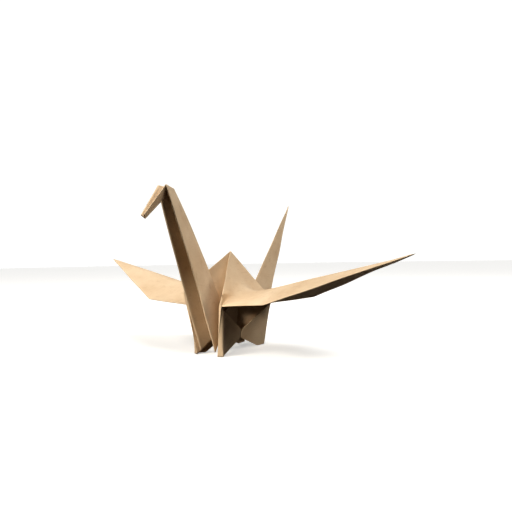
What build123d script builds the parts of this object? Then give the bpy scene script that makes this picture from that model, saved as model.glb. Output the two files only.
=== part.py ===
"""Folded paper crane: one square sheet, modelled as its separate facets between creases.

Frame: the crane faces -Y, its tail points to +Y, its wings lie along X and +Z is up.
The origin is on the table, midway between the four feet.  Millimetres and degrees.
"""
from build123d import *
from math import cos, sin, tan, radians
import os

# ---- the sheet ----
paper_side = 150.0        # edge of the square sheet
paper_thickness = 0.2     # one ply of kraft paper
crease_gap = 0.15         # each facet stops this far short of its creases
ply_pitch = 0.4           # distance between stacked plies

# ---- the folds, measured on the flat bird base ----
tip_angle = 11.25         # angle of a narrowed leg at its tip
wing_crease = 82.0        # from a leg tip up the centre line to the wing crease

# ---- the opened body ----
hump_height = 39.5        # peak of the hump above the table
shoulder = (9.3, 18.4, 23.6)      # corner of the body where the narrowing crease meets the hump
rear_shoulder = (7.8, 17.5, 19.5)  # the same at the tail's end, pressed down further
wing_root = (6.5, 0.0, 22.5)      # middle of the wing crease
wing_rise = 13.0          # wing ridge above the horizontal
wing_slope = 19.5         # each half of the wing falls this much from its ridge
foot = (5.0, 15.0, 0.0)   # corner that the body stands on
foot_length = 4.6         # flat end of a foot
flap_top = (4.5, 0.0, 8.5)        # top of the raw edges that meet on the body's side
flap_bottom = (3.5, 0.0, 5.0)     # bottom of those raw edges

# ---- neck, head and tail ----
spine_root = (0.0, 2.5, 10.0)     # where the spine of the neck or tail leaves the body
neck_length = 58.0
neck_angle = 60.0         # spine above the horizontal
crown_length = 6.0        # from the spine to the front edge, along the head crease
crown_angle = 6.0         # head crease above the horizontal
crown_half_width = 1.5    # half the opening of the neck at the head
beak_length = 17.5
beak_angle = 40.0         # beak below the horizontal
beak_tip_width = 1.8      # the beak's end is blunt
beak_half_width = 0.25    # half the opening of the beak at its end
head_half_width = 0.7     # half the head's opening at the crown, nested inside the neck
tail_length = 67.5
tail_angle = 49.0         # spine above the horizontal

# ---- clearances ----
spine_half_gap = 0.25     # half the gap between the two sides along a spine
gusset_half_gap = 0.7     # the same for the gussets, which lie one ply inside
head_spine_half_gap = 0.15        # the same for the head, inside the neck
nest_inset = 1.2          # the neck and tail sit this far inside the body's corners
root_gap = 1.4            # neck and tail stop this far short of the crease at their root
lining_margin = 3.0       # the flaps inside the neck and tail end this far from the spine
lining_end = 9.0          # and this far from the head or the tail's tip
lining_top_share = 0.4    # share of the neck's or tail's width that they keep there
wing_corner_gap = 0.6     # wing to body at the ends of the wing crease
wing_middle_gap = 2.6     # wing to body at the middle, which swings towards the hump
head_gap = 1.2            # the head starts this far down its spine, clear of the neck's
gusset_gap = 2.5          # the upper gussets stop this far above the root of neck and tail
side_gap = 0.8            # the raw-edged side plies stop this far below the wing crease
side_corner_gap = 2.5     # this far inside the body's corner
side_toe_gap = 5.0        # and this far above the foot
side_sink = 2.5           # and lie this much deeper than the flaps where their raw edges meet
gusset_inset = 0.3        # the gussets stop this far short of their creases
floor_cut = 1.0           # the flaps run on this far below the table before they are cut level

# where the narrowing crease meets the wing's edge on the flat base
narrow_share = tan(radians(tip_angle))
wide_share = tan(radians(2 * tip_angle))
edge_height = paper_side * wide_share / (wide_share + narrow_share)
edge_half_width = edge_height * narrow_share

SIDES = {"left": 1, "right": -1}
ENDS = {"front": -1, "rear": 1}
SHOULDERS = {"front": shoulder, "rear": rear_shoulder}

os.makedirs("parts", exist_ok=True)


def facet(name, corners, inset=crease_gap, layer=0.0, floor=False):
    """One flat ply through its corners, in paper thickness, moved by layer along its own normal."""
    plane = Plane(origin=corners[0], x_dir=corners[1] - corners[0],
                  z_dir=(corners[1] - corners[0]).cross(corners[-1] - corners[0]))
    outline = [plane.to_local_coords(corner) for corner in corners]
    with BuildPart() as sheet:
        with BuildSketch(plane.offset(layer)):
            with BuildLine():
                Polyline(*[(point.X, point.Y) for point in outline], close=True)
            make_face()
            offset(amount=-inset, kind=Kind.INTERSECTION, mode=Mode.REPLACE)
        extrude(amount=paper_thickness / 2, both=True)
        if floor:
            split(bisect_by=Plane.XY, keep=Keep.TOP)
    sheet.part.label = name
    export_step(sheet.part, f"parts/{name}.step")


def towards(start, goal, distance):
    """The point at a distance from start on the line to goal."""
    return start + (goal - start).normalized() * distance


def layered(layer, side, end):
    """A layer distance signed so that a positive one lies outside the body on every side."""
    return layer * SIDES[side] * ENDS[end]


def placed(point, side, end):
    """A named corner moved to its side and end of the crane."""
    x, y, z = point
    return Vector(x * SIDES[side], y * ENDS[end], z)


def lean(angle, distance, end):
    """A step in the middle plane, forwards or backwards and up at an angle."""
    return Vector(0, ENDS[end] * cos(radians(angle)), sin(radians(angle))) * distance


def beside(point, side, half_gap):
    """A point of the middle plane moved out by half a gap."""
    return Vector(SIDES[side] * half_gap, point.Y, point.Z)


# ---- the flat wing: along its ridge, and across to its edge ----
rise = radians(wing_rise)
slope = radians(wing_slope)
ridge = Vector(cos(rise), 0, sin(rise))
across = Vector(sin(rise) * sin(slope), cos(slope), -cos(rise) * sin(slope))
root_half_width = wing_crease * narrow_share
wing_length = paper_side - wing_crease
wing_middle = Vector(*wing_root)


def wing_point(side, end, along, width):
    """A point of the flat wing, by its distance from the wing crease and from the ridge."""
    point = wing_middle + ridge * along + across * width
    return placed(tuple(point), side, end)


def hump(side, end):
    """Two facets of the rounded back, from the peak down to the wing crease."""
    top = placed((spine_half_gap, spine_half_gap, hump_height), side, end)
    hump_corner = placed(SHOULDERS[end], side, end)
    middle = wing_point(side, end, 0, 0) + Vector(0, ENDS[end] * crease_gap, 0)
    corner = wing_point(side, end, 0, root_half_width)
    facet(f"hump_{side}_{end}_upper", [top, hump_corner, middle])
    facet(f"hump_{side}_{end}_lower", [hump_corner, corner, middle])


def gusset(side, end):
    """Two facets inside the body's end, above and below the root of the neck or tail."""
    hump_corner = placed(SHOULDERS[end], side, end)
    top = placed((gusset_half_gap, spine_half_gap, hump_height - ply_pitch), side, end)
    root = placed((gusset_half_gap, spine_root[1], spine_root[2]), side, end)
    upper_root = towards(root, top, gusset_gap)
    raised_toe = towards(placed(foot, side, end), hump_corner, root_gap)
    raised_root = towards(root, hump_corner, root_gap)
    inside = layered(ply_pitch, side, end)
    facet(f"gusset_{side}_{end}_upper", [hump_corner, upper_root, top], gusset_inset, inside)
    facet(f"gusset_{side}_{end}_lower", [hump_corner, raised_toe, raised_root], gusset_inset, inside)


def flap(side, end):
    """The side of the body below the wing: the narrowing flap, and the raw-edged ply behind it."""
    corner = wing_point(side, end, 0, root_half_width)
    raw_gap = Vector(0, ENDS[end] * crease_gap, 0)
    raw_top = placed(flap_top, side, end) + raw_gap
    raw_bottom = placed(flap_bottom, side, end) + raw_gap
    toe = placed(foot, side, end)
    heel = placed((foot[0], foot[1] - foot_length, foot[2]), side, end)
    low_toe = towards(toe, corner, -floor_cut)
    low_heel = towards(heel, raw_bottom, -floor_cut)
    facet(f"flap_{side}_{end}", [corner, low_toe, low_heel, raw_bottom, raw_top], floor=True)
    sunk = Vector(-SIDES[side] * side_sink, 0, 0)
    inner_middle = wing_point(side, end, 0, 0) + raw_gap + sunk
    inner_bottom = raw_bottom + sunk
    inner_corner = towards(corner, inner_middle, side_corner_gap)
    inner_toe = towards(towards(toe, corner, side_toe_gap), inner_bottom, side_corner_gap)
    below = Vector(0, 0, -side_gap)
    facet(f"side_{side}_{end}", [inner_corner + below, inner_toe, inner_bottom, inner_middle + below])


def half_wing(side, end):
    """A top ply, the raw-edged ply under it and the tucked corner under that."""
    middle = wing_point(side, end, wing_middle_gap, crease_gap)
    corner = wing_point(side, end, wing_corner_gap, root_half_width)
    edge = wing_point(side, end, edge_height - wing_crease, edge_half_width)
    tip = wing_point(side, end, wing_length, crease_gap)
    under = layered(ply_pitch, side, end)
    facet(f"wing_{side}_{end}_top", [middle, corner, edge, tip])
    facet(f"wing_{side}_{end}_under", [middle, corner, edge, tip], layer=under)
    facet(f"wing_{side}_{end}_tuck", [middle, corner, edge], layer=2 * under)


def leg(name, side, end, length, angle, open_top):
    """One side of the neck or tail, with its narrowing flap inside; open_top ends it at the head."""
    root = placed(spine_root, side, end)
    spine_top = root + lean(angle, length, end)
    toe = placed((foot[0] - nest_inset, foot[1], foot[2]), side, end)
    spine_end = beside(spine_top, side, spine_half_gap)
    low_spine = towards(beside(root, side, spine_half_gap), spine_end, root_gap)
    if open_top:
        crown = beside(spine_top + lean(crown_angle, crown_length, end), side, crown_half_width)
        top_edge = [crown, spine_end]
    else:
        crown = spine_end
        top_edge = [crown]
    low_edge = towards(toe, crown, root_gap)
    facet(f"{name}_{side}_side", [low_spine, low_edge, *top_edge])

    outer_end = towards(crown, low_edge, lining_end)
    inner_end = towards(spine_end, low_spine, lining_end)
    lining = [towards(low_spine, low_edge, lining_margin), low_edge, outer_end,
              outer_end + (inner_end - outer_end) * lining_top_share]
    facet(f"{name}_{side}_lining", lining, layer=layered(-ply_pitch, side, end))


def head(side):
    """One side of the folded-over head, nested in the neck's open end."""
    brow = placed(spine_root, side, "front") + lean(neck_angle, neck_length, "front")
    crown = brow + lean(crown_angle, crown_length, "front")
    beak_under = brow + lean(-beak_angle, beak_length, "front")
    beak_over = beak_under + lean(90 - beak_angle, beak_tip_width, "front")
    chin = brow + lean(-beak_angle, head_gap, "front")
    facet(f"head_{side}_side",
          [beside(chin, side, head_spine_half_gap), beside(beak_under, side, head_spine_half_gap),
           beside(beak_over, side, beak_half_width), beside(crown, side, head_half_width)])


for side in SIDES:
    for end in ENDS:
        hump(side, end)
        gusset(side, end)
        flap(side, end)
        half_wing(side, end)
    leg("neck", side, "front", neck_length, neck_angle, open_top=True)
    leg("tail", side, "rear", tail_length, tail_angle, open_top=False)
    head(side)
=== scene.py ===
"""Folded paper crane: the looks of the sheet around its packed facets.

Every length is in metres.  The crane faces -Y, its tail points to +Y and +Z is up.
"""
from math import cos, pi, radians, sin, sqrt

import bmesh
import bpy
import numpy as np
from bpy.props import FloatProperty, FloatVectorProperty, IntProperty, PointerProperty
from mathutils import Matrix, Vector, noise
from mathutils.kdtree import KDTree


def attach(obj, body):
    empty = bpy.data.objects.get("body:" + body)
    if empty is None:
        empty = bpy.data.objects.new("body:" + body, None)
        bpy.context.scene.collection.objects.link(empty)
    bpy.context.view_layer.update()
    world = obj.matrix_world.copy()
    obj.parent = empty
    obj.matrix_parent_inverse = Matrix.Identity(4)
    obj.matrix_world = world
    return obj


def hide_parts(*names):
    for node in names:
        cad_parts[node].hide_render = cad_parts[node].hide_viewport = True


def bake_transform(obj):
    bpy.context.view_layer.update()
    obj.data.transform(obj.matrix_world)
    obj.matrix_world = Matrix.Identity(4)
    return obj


bl_info = {
    "name": "Folded paper crane",
    "version": (1, 0, 0),
    "blender": (4, 5, 0),
    "location": "3D View > Sidebar > Crane",
    "description": "Builds a crane folded from one square of kraft paper, and its stage",
    "category": "Add Mesh",
}

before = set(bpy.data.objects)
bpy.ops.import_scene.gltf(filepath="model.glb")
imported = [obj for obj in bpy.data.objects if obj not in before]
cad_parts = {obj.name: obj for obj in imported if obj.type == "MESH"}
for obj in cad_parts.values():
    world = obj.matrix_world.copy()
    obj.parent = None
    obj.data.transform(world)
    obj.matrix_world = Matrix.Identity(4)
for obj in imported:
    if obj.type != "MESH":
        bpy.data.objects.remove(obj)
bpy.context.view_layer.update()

SIDES = {"left": 1.0, "right": -1.0}
ENDS = {"front": -1.0, "rear": 1.0}
SAME_PLACE = 2e-6  # points nearer than this are one point

WAVE_SEED = 3  # the same waves on every run

# ---- the patches of the sheet, each by its four corners; a triangle gives its first twice ----
BACK_PATCHES = (
    ("hump_upper", "peak peak shoulder middle"),
    ("hump_lower", "shoulder shoulder root middle"),
    ("wing", "middle root edge tip"),
)
END_PATCHES = (
    ("gusset_upper", "peak peak shoulder spine_root"),
    ("gusset_lower", "shoulder shoulder toe_roll spine_root"),
    ("corner", "shoulder shoulder root toe_roll"),
    ("strip", "root flap_corner toe toe_roll"),
    ("flap_low", "flap_corner toe heel raw_bottom"),
    ("flap_high", "flap_corner flap_corner raw_bottom raw_top"),
    ("side", "inner_root inner_toe inner_bottom inner_top"),
)

# ---- how the sheet bends ----
# creases of the hump and wing, then of the body's ends: from, to, radius, strength
BACK_CREASES = (
    ("peak", "middle", 0.008, 0.6), ("shoulder", "middle", 0.009, 0.9),
    ("middle", "root", 0.010, 1.0), ("middle", "tip", 0.0022, 0.5),
)
END_CREASES = (
    ("shoulder", "toe_roll", 0.0015, 0.3), ("root", "toe_roll", 0.0012, 0.5),
    ("flap_corner", "toe", 0.0012, 0.5), ("shoulder", "spine_root", 0.003, 0.8),
    ("peak", "spine_root", 0.003, 0.5),
)
# rubbed folds: from, to, strength
BACK_FOLDS = (
    ("root", "edge", 1.0), ("edge", "tip", 1.0), ("middle", "tip", 0.8),
    ("peak", "shoulder", 0.5), ("shoulder", "root", 0.5),
)
END_FOLDS = (
    ("flap_corner", "toe", 0.8), ("root", "toe_roll", 0.6), ("flap_corner", "raw_top", 0.6),
    ("toe", "heel", 0.6), ("peak", "shoulder", 0.5), ("shoulder", "root", 0.5),
)
PEAK_HOLD = 0.010  # the sheet stays crisp this near the peak
ROOT_HOLD = 0.0015  # and this near a wing's root
# how far the pressed sheet stands from the flat facets' corners, for the side at +X
DRAWN = {
    "front": {"root": (-0.0004, -0.0024, 0.0016), "flap_corner": (0.0, -0.0006, 0.0002),
              "toe": (0.0020, 0.0, 0.0), "spine_root": (0.0, 0.0012, -0.0014)},
    "rear": {"root": (0.0, 0.0020, 0.0), "flap_corner": (-0.0004, -0.0002, -0.0012),
             "spine_root": (0.0, -0.0012, -0.0014)},
}
# how quickly a raw edge's curl and gap, and the side ply's belly, fade across the sheet
CURL_FADE, CURL_RISE, GAP_FADE, GAP_RISE, BELLY_RISE = 0.003, 0.004, 0.001, 0.002, 0.004
LEAST_DEPTH = 0.0004  # the side plies stay this far from the middle plane
LEG_LINING, HEAD_LINING = 0.3, 0.35  # share of a side's width that its raw-edged lining leaves bare

# ---- lights: colours as red, green, blue ----
SKY_COLOUR = (1.0, 0.62, 0.36, 1.0)
KEY_DIRECTION, KEY_ANGLE = (-0.45, 0.10, -1.0), 35.0
FILL = {"place": (-0.15, -0.48, 0.42), "size": 0.30, "colour": (1.0, 0.93, 0.84)}
BACK = {"place": (0.36, 0.34, 0.36), "size": 0.40, "colour": (1.0, 0.95, 0.88)}
LIT_POINT = (0, 0, 0.02)
LOW = {"place": (0.045, -0.190, 0.060), "aim": (0.004, -0.004, 0.007), "angle": 12.0,
       "blend": 0.7, "radius": 0.012, "colour": (1.0, 0.90, 0.78)}
FLOOR_REACH, FLOOR_BELOW, FLOOR_GLOW = 3.0, -0.0001, 0.5
BACKDROP_RADIUS = 2.9


# ---- the sizes and colours that a user would change ----
class CranePaperSettings(bpy.types.PropertyGroup):
    """The sheet of paper"""
    ply: FloatProperty(name="Ply",
                       description="Thickness of one ply", default=0.00016, unit="LENGTH")
    fold_gap: FloatProperty(name="Fold gap",
                            description="Distance between the plies of a pressed fold",
                            default=0.00042, unit="LENGTH")
    raw_gap: FloatProperty(name="Raw edge gap", description="Gap where two raw edges meet",
                           default=0.0003, unit="LENGTH")
    raw_curl: FloatProperty(name="Raw edge curl",
                            description="How far a raw edge stands off its fold",
                            default=0.0006, unit="LENGTH")
    corner_roll: FloatProperty(name="Corner roll", description="Width of a foot's rounded end",
                               default=0.0010, unit="LENGTH")
    belly: FloatProperty(name="Belly", description="How much further in the side plies are drawn",
                         default=0.0036, unit="LENGTH")
    spine_bow: FloatProperty(name="Spine bow", description="How far the neck's spine bows back",
                             default=0.0014, unit="LENGTH")
    edge_bow: FloatProperty(name="Edge bow", description="How far the neck's edges bow open",
                            default=0.0006, unit="LENGTH")
    crown_open: FloatProperty(name="Crown opening",
                              description="Half the opening at the top of the neck",
                              default=0.0021, unit="LENGTH")
    beak_open: FloatProperty(name="Beak opening", description="Half the opening at the beak's end",
                             default=0.0008, unit="LENGTH")
    cuts: IntProperty(name="Cuts", description="Cuts along each edge of a facet", default=16)
    rounds: IntProperty(name="Rounds", description="Rounds of smoothing at the soft creases",
                        default=110)
    waviness: FloatProperty(name="Waviness", description="How far the sheet wanders from flat",
                            default=0.0003, unit="LENGTH")
    wave_length: FloatProperty(name="Wave length", description="Length of those waves",
                               default=0.014, unit="LENGTH")
    wear_width: FloatProperty(name="Wear width",
                              description="Width of the rubbed line along a fold",
                              default=0.0005, unit="LENGTH")


class CraneFinishSettings(bpy.types.PropertyGroup):
    """The colours of the paper"""
    light: FloatVectorProperty(name="Light fibres", description="Colour of the palest fibres",
                               default=(0.74, 0.59, 0.415), size=3, subtype="COLOR")
    mid: FloatVectorProperty(name="Paper", description="Main colour of the paper",
                             default=(0.635, 0.475, 0.31), size=3, subtype="COLOR")
    dark: FloatVectorProperty(name="Dark fibres", description="Colour of the darkest fibres",
                              default=(0.45, 0.295, 0.155), size=3, subtype="COLOR")
    worn: FloatVectorProperty(name="Worn folds", description="Colour of the rubbed folds",
                              default=(0.80, 0.64, 0.44), size=3, subtype="COLOR")
    roughness: FloatProperty(name="Roughness", description="Roughness of the paper", default=0.78)


class CraneStageSettings(bpy.types.PropertyGroup):
    """Floor, lights and camera"""
    azimuth: FloatProperty(name="Azimuth", description="Camera angle round the crane",
                           default=radians(36.5), subtype="ANGLE")
    elevation: FloatProperty(name="Elevation", description="Camera angle above the floor",
                             default=radians(4.5), subtype="ANGLE")
    roll: FloatProperty(name="Roll",
                        description="Camera tilt", default=radians(-0.97), subtype="ANGLE")
    distance: FloatProperty(name="Distance", description="Camera distance", default=0.1879,
                            unit="LENGTH")
    target_height: FloatProperty(name="Target height",
                                 description="Height that the camera looks at",
                                 default=0.0215, unit="LENGTH")
    lens: FloatProperty(name="Lens", description="Focal length in millimetres", default=33.2)
    shift_x: FloatProperty(name="Shift X", description="Sideways lens shift", default=0.0483)
    shift_y: FloatProperty(name="Shift Y", description="Upward lens shift", default=0.0769)
    floor: FloatVectorProperty(name="Floor", description="Colour of the floor",
                               default=(0.80, 0.80, 0.79), size=3, subtype="COLOR")
    key_power: FloatProperty(name="Key power", description="Strength of the large light above",
                             default=1.55)
    fill_power: FloatProperty(name="Fill power",
                              description="Power of the light in front", default=3.2)
    low_power: FloatProperty(name="Low power",
                             description="Power of the narrow light near the floor",
                             default=0.8)
    back_power: FloatProperty(name="Back power",
                              description="Power of the light behind", default=1.2)
    sky: FloatProperty(name="Sky",
                       description="Strength of the light from all round", default=0.015)
    backdrop: FloatProperty(name="Backdrop",
                            description="Brightness of the pale backdrop", default=1.15)


# ---- places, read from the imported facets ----
def corner(node, direction):
    """The vertex of a packed facet that lies farthest in a direction."""
    aim = Vector(direction)
    return max((v.co.copy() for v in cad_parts[node].data.vertices), key=lambda co: co.dot(aim))


def nodes_named(side, *kinds):
    """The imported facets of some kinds, on one side."""
    starts = tuple(f"{kind}_{side}" for kind in kinds)
    return [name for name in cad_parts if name.startswith(starts)]


def centred(point, y=None):
    """A point moved into the crane's middle plane, and to y where that is given."""
    return Vector((0, point.y if y is None else y, point.z))


def body_places(side, end):
    """The named corners of one quarter of the body and its half wing."""
    x, y = SIDES[side], ENDS[end]
    upper, lower = f"hump_{side}_{end}_upper", f"hump_{side}_{end}_lower"
    flap, inner, wing = f"flap_{side}_{end}", f"side_{side}_{end}", f"wing_{side}_{end}_top"
    leg = ("neck" if end == "front" else "tail") + f"_{side}_side"
    middle = corner(lower, (0, -y, 0.3))
    tip = corner(wing, (x, 0, 0))
    return {
        "peak": centred(corner(upper, (0, 0, 1)), y=0),
        "shoulder": corner(upper, (x * 0.2, y, 0)),
        "middle": Vector((middle.x, 0, middle.z)),
        "root": corner(lower, (0, 0, -1)),
        "edge": corner(wing, (0, y, 0)),
        "tip": Vector((tip.x, 0, tip.z)),
        "toe": corner(flap, (0, y, -2)),
        "heel": corner(flap, (0, -y * 0.2, -1)),
        "raw_top": corner(flap, (x * 0.1, -y, 0.3)),
        "raw_bottom": corner(flap, (x * 0.1, -y, -0.3)),
        "spine_root": centred(corner(leg, (0, -y, 0))),
        "inner_root": corner(inner, (0, y, 2)),
        "inner_toe": corner(inner, (0, y, -2)),
        "inner_top": corner(inner, (0, -y, 2)),
        "inner_bottom": corner(inner, (0, -y, -0.3)),
    }


# ---- the sheet, as grids of points that share their edges ----
def eased(count):
    """Shares from 0 to 1, closer together at both ends, where the creases are."""
    even = np.linspace(0, 1, count + 1)
    return 0.35 * even + 0.65 * (0.5 - 0.5 * np.cos(pi * even))


class Sheet:
    """Grid patches of one sheet, joined where their points coincide."""

    def __init__(self):
        self.points = []
        self.grids = []
        self.creases = []
        self.held = []

    def add(self, grid, name):
        """Adds a grid of points, rows by columns, and keeps its place in the list."""
        rows, columns = len(grid), len(grid[0])
        first = len(self.points)
        for row in grid:
            self.points.extend(Vector(point) for point in row)
        self.grids.append((name, np.arange(first, first + rows * columns).reshape(rows, columns)))

    def patch_all(self, patches, places, end, cuts):
        """Adds one end's patches between their named places."""
        shares = eased(cuts)
        for name, corners in patches:
            a, b, c, d = (places[corner] for corner in corners.split())
            grid = [[a.lerp(b, u).lerp(d.lerp(c, u), v) for u in shares] for v in shares]
            self.add(grid, f"{name}_{end}")

    def crease_all(self, places, creases):
        """Creases that the sheet turns over softly, each within its radius."""
        for a, b, radius, strength in creases:
            self.creases.append((np.array(places[a]), np.array(places[b]), radius, strength))

    def hold(self, point, radius):
        """A corner that stays sharp."""
        self.held.append((np.array(point), radius))

    def join(self):
        """Merges points at the same place, and makes the arrays that the rest works on."""
        tree = KDTree(len(self.points))
        for number, point in enumerate(self.points):
            tree.insert(point, number)
        tree.balance()
        first = [min(found[1] for found in tree.find_range(point, SAME_PLACE))
                 for point in self.points]
        kept = sorted(set(first))
        place = {old: new for new, old in enumerate(kept)}
        renumber = np.array([place[old] for old in first])
        self.co = np.array([self.points[old] for old in kept], float)
        self.grids = [(name, renumber[grid]) for name, grid in self.grids]

    def faces(self):
        """The faces of every grid, without the edges that a triangle's corner has folded up."""
        made = []
        for _, grid in self.grids:
            for i in range(grid.shape[0] - 1):
                for j in range(grid.shape[1] - 1):
                    ring = [grid[i, j], grid[i, j + 1], grid[i + 1, j + 1], grid[i + 1, j]]
                    face = [p for k, p in enumerate(ring) if p != ring[k - 1]]
                    if len(set(face)) == len(face) and len(face) > 2:
                        made.append([int(p) for p in face])
        return made

    def edges(self):
        """The pairs of neighbouring points, and how many faces each pair has."""
        count = {}
        for face in self.faces():
            for k, p in enumerate(face):
                pair = (min(p, face[k - 1]), max(p, face[k - 1]))
                count[pair] = count.get(pair, 0) + 1
        return count

    def soften(self, rounds):
        """Rounds the soft creases, and leaves the sheet's outer edges where they are."""
        count = self.edges()
        pairs = np.array(list(count))
        rim = np.unique(pairs[np.array([n == 1 for n in count.values()])])
        weight = np.zeros(len(self.co))
        for a, b, radius, strength in self.creases:
            near = 1 - np.clip(distance_to(self.co, a, b) / radius, 0, 1)
            weight = np.maximum(weight, strength * near * near * (3 - 2 * near))
        for point, radius in self.held:
            weight *= np.clip(np.linalg.norm(self.co - point, axis=1) / radius, 0, 1) ** 2
        middle = np.abs(self.co[:, 0]) < SAME_PLACE
        fixed = np.zeros(len(self.co), bool)
        fixed[rim] = True
        weight[fixed & ~middle] = 0
        neighbours = np.bincount(pairs.ravel(), minlength=len(self.co))[:, None]
        for _ in range(rounds):
            total = np.zeros_like(self.co)
            np.add.at(total, pairs[:, 0], self.co[pairs[:, 1]])
            np.add.at(total, pairs[:, 1], self.co[pairs[:, 0]])
            step = (total / neighbours - self.co) * (0.5 * weight[:, None])
            step[middle, 0] = 0
            self.co += step

    def normals(self, name):
        """The grid called name, with the unit normal at each of its points."""
        grid = dict(self.grids)[name]
        co = self.co[grid]
        down, along = np.gradient(co, axis=0), np.gradient(co, axis=1)
        normal = np.cross(along, down)
        length = np.linalg.norm(normal, axis=2, keepdims=True)
        return co, normal / np.maximum(length, 1e-12)


def distance_to(points, a, b):
    """The distance of each point to the line from a to b."""
    line = b - a
    share = np.clip((points - a) @ line / (line @ line), 0, 1)
    return np.linalg.norm(points - (a + share[:, None] * line), axis=1)


def waves(co, amount, length):
    """The gentle unevenness of a handled sheet, the same wherever two pieces meet."""
    moved = [Vector(p) + noise.noise_vector(Vector(p) / length) * amount for p in co]
    return np.array(moved)


def make_piece(name, sheet, folds, paper):
    """The Blender mesh of a sheet, with its rest places and its wear along the folds."""
    settings = bpy.context.scene.crane_paper
    co = waves(sheet.co, settings.waviness, settings.wave_length)
    co[:, 2] = np.maximum(co[:, 2], settings.ply / 2)
    middle = np.abs(sheet.co[:, 0]) < SAME_PLACE
    co[middle, 0] = 0
    mesh = bpy.data.meshes.new(name)
    mesh.from_pydata([tuple(p) for p in co], [], sheet.faces())
    mesh.validate()
    turned = bmesh.new()
    turned.from_mesh(mesh)
    bmesh.ops.recalc_face_normals(turned, faces=turned.faces)
    turned.to_mesh(mesh)
    turned.free()
    sharp = mesh.attributes.new("crease_vert", "FLOAT", "POINT").data
    for point, _ in sheet.held:
        sharp[int(np.argmin(np.linalg.norm(sheet.co - point, axis=1)))].value = 1.0
    wear = np.zeros(len(co))
    for a, b, strength in folds:
        far = distance_to(sheet.co, np.array(a), np.array(b)) / settings.wear_width
        wear = np.maximum(wear, strength * np.exp(-far * far))
    worn = mesh.attributes.new("fold_wear", "FLOAT", "POINT")
    worn.data.foreach_set("value", wear.astype(np.float32))
    rest = mesh.attributes.new("rest_place", "FLOAT_VECTOR", "POINT")
    rest.data.foreach_set("vector", co.astype(np.float32).ravel())
    mesh.materials.append(paper)
    for polygon in mesh.polygons:
        polygon.use_smooth = True
    piece = bpy.data.objects.new(name, mesh)
    bpy.context.scene.collection.objects.link(piece)
    rounder = piece.modifiers.new("Rounder", "SUBSURF")
    rounder.levels = rounder.render_levels = 1
    rounder.boundary_smooth = "PRESERVE_CORNERS"
    ply = piece.modifiers.new("Ply", "SOLIDIFY")
    ply.thickness = settings.ply
    ply.offset = 0
    return piece


# ---- the paper ----
def node(tree, kind, place, **values):
    """A node with its settings and its unlinked inputs."""
    made = tree.nodes.new(kind)
    made.location = place
    for key, value in values.items():
        if hasattr(made, key):
            setattr(made, key, value)
        else:
            made.inputs[key].default_value = value
    return made


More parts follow.
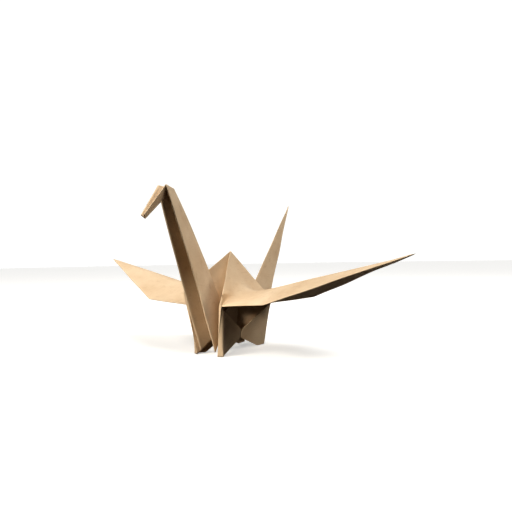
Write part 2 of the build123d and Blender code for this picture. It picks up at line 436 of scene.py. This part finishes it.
def kraft_paper():
    """Kraft paper: mottled pulp, short fibres both ways, rubbed folds and a dry surface."""
    finish = bpy.context.scene.crane_finish
    paper = bpy.data.materials.new("kraft_paper")
    paper.use_nodes = True
    tree = paper.node_tree
    tree.nodes.clear()
    link = tree.links.new

    def shade(colour):
        return (*colour, 1.0)

    place = node(tree, "ShaderNodeAttribute", (-1500, 0), attribute_name="rest_place")
    pulp = node(tree, "ShaderNodeTexNoise", (-1000, 400), Scale=75.0, Detail=5.0, Roughness=0.6)
    speck = node(tree, "ShaderNodeTexNoise", (-1000, 150), Scale=900.0, Detail=3.0, Roughness=0.7)
    link(place.outputs["Vector"], pulp.inputs["Vector"])
    link(place.outputs["Vector"], speck.inputs["Vector"])
    fibres = []
    for number, stretch in enumerate(((1500.0, 260.0, 260.0), (260.0, 260.0, 1500.0))):
        row = -100 - 250 * number
        turn = node(tree, "ShaderNodeMapping", (-1250, row))
        turn.inputs["Scale"].default_value = stretch
        turn.inputs["Rotation"].default_value = (0.5 * number, 0.4, 0.7 - number)
        fibre = node(tree, "ShaderNodeTexNoise", (-1000, row), Scale=1.0, Detail=4.0, Roughness=0.62,
                     Distortion=0.6)
        link(place.outputs["Vector"], turn.inputs["Vector"])
        link(turn.outputs["Vector"], fibre.inputs["Vector"])
        fibres.append(fibre)
    both = node(tree, "ShaderNodeMath", (-780, -200), operation="MAXIMUM")
    link(fibres[0].outputs["Fac"], both.inputs[0])
    link(fibres[1].outputs["Fac"], both.inputs[1])

    body = node(tree, "ShaderNodeValToRGB", (-560, 400))
    body.color_ramp.elements[0].position = 0.34
    body.color_ramp.elements[0].color = shade(finish.mid)
    body.color_ramp.elements[1].position = 0.68
    body.color_ramp.elements[1].color = shade(finish.light)
    link(pulp.outputs["Fac"], body.inputs["Fac"])

    threads = node(tree, "ShaderNodeMapRange", (-560, -100))
    threads.inputs["From Min"].default_value = 0.58
    threads.inputs["From Max"].default_value = 0.80
    threads.inputs["To Max"].default_value = 0.45
    link(both.outputs["Value"], threads.inputs["Value"])
    fibred = node(tree, "ShaderNodeMix", (-300, 300), data_type="RGBA")
    fibred.inputs[7].default_value = shade(finish.dark)
    link(threads.outputs["Result"], fibred.inputs["Factor"])
    link(body.outputs["Color"], fibred.inputs[6])

    specks = node(tree, "ShaderNodeMapRange", (-560, 120))
    specks.inputs["From Min"].default_value = 0.60
    specks.inputs["From Max"].default_value = 0.75
    specks.inputs["To Max"].default_value = 0.30
    link(speck.outputs["Fac"], specks.inputs["Value"])
    flecked = node(tree, "ShaderNodeMix", (-60, 260), data_type="RGBA")
    flecked.inputs[7].default_value = shade(finish.light)
    link(specks.outputs["Result"], flecked.inputs["Factor"])
    link(fibred.outputs[2], flecked.inputs[6])

    wear = node(tree, "ShaderNodeAttribute", (-780, 650), attribute_name="fold_wear")
    broken = node(tree, "ShaderNodeMath", (-560, 650), operation="MULTIPLY")
    link(wear.outputs["Fac"], broken.inputs[0])
    link(speck.outputs["Fac"], broken.inputs[1])
    worn = node(tree, "ShaderNodeMix", (180, 300), data_type="RGBA")
    worn.inputs[7].default_value = shade(finish.worn)
    link(broken.outputs["Value"], worn.inputs["Factor"])
    link(flecked.outputs[2], worn.inputs[6])

    dry = node(tree, "ShaderNodeMapRange", (180, -100))
    dry.inputs["To Min"].default_value = finish.roughness - 0.08
    dry.inputs["To Max"].default_value = finish.roughness + 0.12
    link(both.outputs["Value"], dry.inputs["Value"])
    height = node(tree, "ShaderNodeMath", (-60, -350), operation="ADD")
    link(both.outputs["Value"], height.inputs[0])
    link(speck.outputs["Fac"], height.inputs[1])
    bump = node(tree, "ShaderNodeBump", (180, -350), Strength=0.30, Distance=0.00006)
    link(height.outputs["Value"], bump.inputs["Height"])

    shader = node(tree, "ShaderNodeBsdfPrincipled", (450, 200))
    shader.inputs["Specular IOR Level"].default_value = 0.22
    shader.inputs["Sheen Weight"].default_value = 0.08
    shader.inputs["Sheen Roughness"].default_value = 0.6
    output = node(tree, "ShaderNodeOutputMaterial", (750, 200))
    link(worn.outputs[2], shader.inputs["Base Color"])
    link(dry.outputs["Result"], shader.inputs["Roughness"])
    link(bump.outputs["Normal"], shader.inputs["Normal"])
    link(shader.outputs["BSDF"], output.inputs["Surface"])
    return paper


def paper_material():
    """The crane's paper, made once."""
    return bpy.data.materials.get("kraft_paper") or kraft_paper()


# ---- back: hump and wing of one side, one continuous sheet ----
def pressed_places(side):
    """The corners of one side of the body and its wing, as the pressed sheet has them."""
    at = {end: body_places(side, end) for end in ENDS}
    shared = {name: (at["front"][name] + at["rear"][name]) / 2
              for name in ("peak", "middle", "tip")}
    roll = bpy.context.scene.crane_paper.corner_roll
    for end, p in at.items():
        p.update(shared)
        p["flap_corner"] = p["root"].copy()
        p["inner_top"].y = p["inner_bottom"].y = 0
        p["toe_roll"] = p["toe"] + Vector((0, ENDS[end] * roll, 0))
        for name, (x, y, z) in DRAWN[end].items():
            p[name] = p[name] + Vector((x * SIDES[side], y, z))
    return at


class CRANE_OT_back(bpy.types.Operator):
    """Builds the hump and the wings, one piece for each side"""
    bl_idname = "crane.back"
    bl_label = "Hump and wings"

    def execute(self, context):
        for side in SIDES:
            self.half(context.scene.crane_paper, side)
        return {"FINISHED"}

    def half(self, settings, side):
        sheet, folds, cuts = Sheet(), [], settings.cuts
        at = pressed_places(side)
        for end, p in at.items():
            sheet.patch_all(BACK_PATCHES, p, end, cuts)
            sheet.crease_all(p, BACK_CREASES)
            folds += [(p[a], p[b], strength) for a, b, strength in BACK_FOLDS]
            sheet.hold(p["peak"], PEAK_HOLD)
            sheet.hold(p["root"], ROOT_HOLD)
        sheet.join()
        sheet.soften(settings.rounds)
        for end in ENDS:
            self.under_plies(sheet, at[end], end, settings)
        piece = make_piece(f"{side}_hump_and_wing", sheet, folds, paper_material())
        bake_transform(piece)
        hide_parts(*nodes_named(side, "hump", "wing"))

    def under_plies(self, sheet, p, end, settings):
        """The raw-edged ply that turns back under the wing at its edge."""
        co, normal = sheet.normals("wing_" + end)
        down = normal * np.sign(-normal[..., 2:3])
        root, edge, tip, middle = (np.array(p[name]) for name in ("root", "edge", "tip", "middle"))
        flat = co.reshape(-1, 3)
        to_fold = np.minimum(distance_to(flat, root, edge), distance_to(flat, edge, tip))
        to_ridge = distance_to(flat, middle, tip).reshape(co.shape[:2])
        to_fold = to_fold.reshape(co.shape[:2])
        near = np.clip(to_fold / settings.fold_gap, 0, 1)
        depth = settings.fold_gap * np.sqrt(1 - (1 - near) ** 2)
        curl = settings.raw_curl * np.exp(-to_ridge / CURL_FADE)
        curl = curl * np.clip(to_fold / CURL_RISE, 0, 1)
        under = co + down * (depth + curl)[..., None]
        apart = settings.raw_gap * np.exp(-to_ridge / GAP_FADE) * np.clip(to_fold / GAP_RISE, 0, 1)
        under[..., 1] += ENDS[end] * apart
        rim = to_fold < SAME_PLACE
        grid = dict(sheet.grids)["wing_" + end]
        fresh = np.arange(len(sheet.co), len(sheet.co) + grid.size).reshape(grid.shape)
        sheet.grids.append(("under_" + end, np.where(rim, grid, fresh)[:, ::-1]))
        sheet.co = np.vstack([sheet.co, under.reshape(-1, 3)])


class CRANE_OT_ends(bpy.types.Operator):
    """Builds the body's gussets, corners and side flaps, one piece for each side"""
    bl_idname = "crane.ends"
    bl_label = "Body ends and flaps"

    def execute(self, context):
        for side in SIDES:
            self.half(context.scene.crane_paper, side)
        return {"FINISHED"}

    def half(self, settings, side):
        sheet, folds, cuts = Sheet(), [], settings.cuts
        for end, p in pressed_places(side).items():
            sheet.patch_all(END_PATCHES, p, end, cuts)
            sheet.crease_all(p, END_CREASES)
            folds += [(p[a], p[b], strength) for a, b, strength in END_FOLDS]
            sheet.hold(p["peak"], PEAK_HOLD)
        sheet.join()
        sheet.soften(settings.rounds)
        for end in ENDS:
            self.belly(sheet, side, end, settings)
        piece = make_piece(f"{side}_body_ends", sheet, folds, paper_material())
        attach(piece, "body")
        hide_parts(*nodes_named(side, "gusset", "flap", "side"))

    def belly(self, sheet, side, end, settings):
        """Draws the raw-edged side ply further in, away from the body's corner."""
        grid = dict(sheet.grids)["side_" + end]
        co = sheet.co[grid]
        depth = np.clip((np.abs(co[:, :1, 1]) - np.abs(co[..., 1])) / BELLY_RISE, 0, 1)
        out = co[..., 0] * SIDES[side]
        drawn = np.maximum(out - settings.belly * depth, np.minimum(out, LEAST_DEPTH))
        co[..., 0] = SIDES[side] * drawn
        sheet.co[grid] = co


# ---- neck and tail ----
def trough_rows(root, top, toe, crown, cuts, gap, raw_share, spine_bow=0.0, edge_bow=0.0):
    """Rows of points across one side of a leg: the raw edge inside, the folded edge, the spine.

    The bows are how far the spine stands back, and the edge stands open, half way up.
    """
    rows = []
    back = Vector((0, 1, -(top - root).y / (top - root).z)).normalized()
    for v in eased(cuts * 2):
        spine, edge = root.lerp(top, v), toe.lerp(crown, v)
        half_way = 4 * v * (1 - v)
        spine += back * (spine_bow * half_way)
        edge.x += (edge_bow if edge.x > 0 else -edge_bow) * half_way
        across = edge - spine
        width = across.length
        along = ((top - root) + (crown - toe)).normalized()
        inward = across.cross(along).normalized()
        if inward.x * edge.x > 0:
            inward = -inward
        lining = []
        for u in 1 - eased(cuts)[::-1] * (1 - raw_share):
            inset = min(max((1 - u) * width, 0) / gap, 1)
            lining.append(spine + across * u + inward * gap * sqrt(1 - (1 - inset) ** 2))
        side = [spine + across * u for u in eased(cuts)[::-1]]
        rows.append(lining[:-1] + side)
    return rows


class CRANE_OT_legs(bpy.types.Operator):
    """Builds the neck and the tail, each one ply folded along its spine with its flaps inside"""
    bl_idname = "crane.legs"
    bl_label = "Neck and tail"

    def execute(self, context):
        settings = context.scene.crane_paper
        for name, end in (("neck", "front"), ("tail", "rear")):
            sheet, folds = Sheet(), []
            for side in SIDES:
                p = leg_places(name, side, end)
                bows = (settings.spine_bow, settings.edge_bow) if name == "neck" else ()
                rows = trough_rows(p["root"], p["top"], p["toe"], p["crown"], settings.cuts,
                                   settings.fold_gap, LEG_LINING, *bows)
                sheet.add(rows, side)
                folds += [(p["toe"], p["crown"], 1.0), (p["root"], p["top"], 0.8),
                          (p["top"], p["crown"], 0.8)]
            sheet.join()
            piece = make_piece(name + "_folded", sheet, folds, paper_material())
            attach(piece, name)
            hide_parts(*[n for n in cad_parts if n.startswith(name + "_")])
        return {"FINISHED"}


def leg_places(name, side, end):
    """The named corners of one side of the neck or tail."""
    x, y = SIDES[side], ENDS[end]
    leg = f"{name}_{side}_side"
    found = {
        "root": centred(corner(leg, (0, -y, 0))),
        "toe": corner(leg, (0, 0, -1)),
        "crown": corner(leg, (0, y, 1) if name == "tail" else (0, y, 0.2)),
    }
    if name == "neck":
        found["crown"].x = x * bpy.context.scene.crane_paper.crown_open
    end_point = found["crown"] if name == "tail" else corner(leg, (0, -y * 0.3, 1))
    found["top"] = centred(end_point)
    return found


class CRANE_OT_head(bpy.types.Operator):
    """Builds the head, folded forwards from between the neck's two sides"""
    bl_idname = "crane.head"
    bl_label = "Head"

    def execute(self, context):
        settings = context.scene.crane_paper
        sheet, folds = Sheet(), []
        for side in SIDES:
            leg = leg_places("neck", side, "front")
            shell = f"head_{side}_side"
            brow = leg["top"]
            over = corner(shell, (0, -1, 0.2))
            under = centred(corner(shell, (0, -0.2, -1)))
            crown = Vector((leg["crown"].x * 0.9, leg["crown"].y, leg["crown"].z))
            over.x = SIDES[side] * settings.beak_open
            rows = trough_rows(brow, under, crown, over, settings.cuts // 2,
                               settings.fold_gap * 0.6, HEAD_LINING)
            sheet.add(rows, side)
            folds += [(crown, over, 1.0), (brow, under, 0.8), (brow, crown, 1.0),
                      (over, under, 0.8)]
        sheet.join()
        piece = make_piece("head_folded", sheet, folds, paper_material())
        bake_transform(piece)
        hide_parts("head_left_side", "head_right_side")
        return {"FINISHED"}


# ---- floor, lights and camera ----
class CRANE_OT_stage(bpy.types.Operator):
    """Adds the pale floor, the soft lights and the camera"""
    bl_idname = "crane.stage"
    bl_label = "Stage"

    def execute(self, context):
        settings = context.scene.crane_stage
        self.floor(settings)
        self.backdrop(settings)
        self.lights(context.scene, settings)
        self.camera(context.scene, settings)
        context.scene.view_settings.view_transform = "Standard"
        context.scene.view_settings.look = "Medium High Contrast"
        return {"FINISHED"}

    def floor(self, settings):
        mesh = bpy.data.meshes.new("floor")
        reach, below = FLOOR_REACH, FLOOR_BELOW
        mesh.from_pydata([(-reach, -reach, below), (reach, -reach, below), (reach, reach, below),
                          (-reach, reach, below)], [], [(0, 1, 2, 3)])
        plain = bpy.data.materials.new("floor_card")
        plain.use_nodes = True
        shader = plain.node_tree.nodes["Principled BSDF"]
        shader.inputs["Base Color"].default_value = (*settings.floor, 1.0)
        shader.inputs["Roughness"].default_value = 0.9
        shader.inputs["Specular IOR Level"].default_value = 0.1
        shader.inputs["Emission Color"].default_value = (*settings.floor, 1.0)
        shader.inputs["Emission Strength"].default_value = FLOOR_GLOW
        mesh.materials.append(plain)
        floor = bpy.data.objects.new("floor", mesh)
        bpy.context.scene.collection.objects.link(floor)
        floor.visible_diffuse = False

    def backdrop(self, settings):
        """A pale shell round the stage, seen by the camera and casting no light."""
        mesh = bpy.data.meshes.new("backdrop")
        shell = bmesh.new()
        bmesh.ops.create_uvsphere(shell, u_segments=48, v_segments=24, radius=BACKDROP_RADIUS)
        shell.to_mesh(mesh)
        shell.free()
        glow = bpy.data.materials.new("backdrop_card")
        glow.use_nodes = True
        tree = glow.node_tree
        tree.nodes.clear()
        card = node(tree, "ShaderNodeEmission", (0, 0))
        card.inputs["Color"].default_value = (*settings.floor, 1.0)
        card.inputs["Strength"].default_value = settings.backdrop
        output = node(tree, "ShaderNodeOutputMaterial", (250, 0))
        tree.links.new(card.outputs["Emission"], output.inputs["Surface"])
        mesh.materials.append(glow)
        backdrop = bpy.data.objects.new("backdrop", mesh)
        bpy.context.scene.collection.objects.link(backdrop)
        backdrop.visible_diffuse = False
        backdrop.visible_glossy = False
        backdrop.visible_shadow = False

    def lights(self, scene, settings):
        world = bpy.data.worlds.new("studio")
        world.use_nodes = True
        sky = world.node_tree.nodes["Background"]
        sky.inputs["Color"].default_value = SKY_COLOUR
        sky.inputs["Strength"].default_value = settings.sky
        scene.world = world
        sun = bpy.data.lights.new("key", "SUN")
        sun.energy = settings.key_power
        sun.angle = radians(KEY_ANGLE)
        self.hang(scene, sun, (0, 0, 0), KEY_DIRECTION)
        for name, power, lamp in (("fill", settings.fill_power, FILL),
                                  ("back", settings.back_power, BACK)):
            disk = bpy.data.lights.new(name, "AREA")
            disk.shape = "DISK"
            disk.size = lamp["size"]
            disk.energy = power
            disk.color = lamp["colour"]
            self.hang(scene, disk, lamp["place"], LIT_POINT)
        snoot = bpy.data.lights.new("low", "SPOT")
        snoot.energy = settings.low_power
        snoot.color = LOW["colour"]
        snoot.spot_size = radians(LOW["angle"])
        snoot.spot_blend = LOW["blend"]
        snoot.shadow_soft_size = LOW["radius"]
        self.hang(scene, snoot, LOW["place"], LOW["aim"])

    def hang(self, scene, lamp, place, target):
        """Puts a light at a place, aimed at a target."""
        light = bpy.data.objects.new(lamp.name, lamp)
        light.location = place
        aim = Vector(target) - Vector(place)
        light.rotation_euler = aim.to_track_quat("-Z", "Y").to_euler()
        scene.collection.objects.link(light)

    def camera(self, scene, settings):
        lens = bpy.data.cameras.new("camera")
        lens.lens = settings.lens
        lens.sensor_width = 36.0
        lens.shift_x, lens.shift_y = settings.shift_x, settings.shift_y
        lens.clip_start, lens.clip_end = 0.005, 20.0
        lens.dof.use_dof = False
        camera = bpy.data.objects.new("camera", lens)
        a, e, r = settings.azimuth, settings.elevation, settings.roll
        forward = Vector((-sin(a) * cos(e), cos(a) * cos(e), -sin(e)))
        level = Vector((cos(a), sin(a), 0))
        upright = level.cross(forward)
        right = level * cos(r) + upright * sin(r)
        up = upright * cos(r) - level * sin(r)
        place = Vector((0, 0, settings.target_height)) - forward * settings.distance
        turn = Matrix((right, up, -forward)).transposed().to_4x4()
        camera.matrix_world = Matrix.Translation(place) @ turn
        scene.collection.objects.link(camera)
        scene.camera = camera


class CRANE_PT_panel(bpy.types.Panel):
    """The crane's pieces and settings"""
    bl_idname = "CRANE_PT_panel"
    bl_label = "Folded paper crane"
    bl_space_type = "VIEW_3D"
    bl_region_type = "UI"
    bl_category = "Crane"

    def draw(self, context):
        layout = self.layout
        for operator in OPERATORS:
            layout.operator(operator.bl_idname)
        for key in SETTINGS:
            group = getattr(context.scene, key)
            box = layout.box()
            for name in group.bl_rna.properties.keys():
                if name not in ("rna_type", "name"):
                    box.prop(group, name)


OPERATORS = (CRANE_OT_back, CRANE_OT_ends, CRANE_OT_legs, CRANE_OT_head, CRANE_OT_stage)
SETTINGS = {"crane_paper": CranePaperSettings, "crane_finish": CraneFinishSettings,
            "crane_stage": CraneStageSettings}


def register():
    for name, group in SETTINGS.items():
        bpy.utils.register_class(group)
        setattr(bpy.types.Scene, name, PointerProperty(type=group))
    for operator in OPERATORS:
        bpy.utils.register_class(operator)
    bpy.utils.register_class(CRANE_PT_panel)


def unregister():
    bpy.utils.unregister_class(CRANE_PT_panel)
    for operator in reversed(OPERATORS):
        bpy.utils.unregister_class(operator)
    for name, group in SETTINGS.items():
        delattr(bpy.types.Scene, name)
        bpy.utils.unregister_class(group)


def main():
    register()
    noise.seed_set(WAVE_SEED)
    bpy.ops.crane.back()
    bpy.ops.crane.ends()
    bpy.ops.crane.legs()
    bpy.ops.crane.head()
    bpy.ops.crane.stage()
    bpy.context.view_layer.update()


if __name__ == "__main__":
    main()
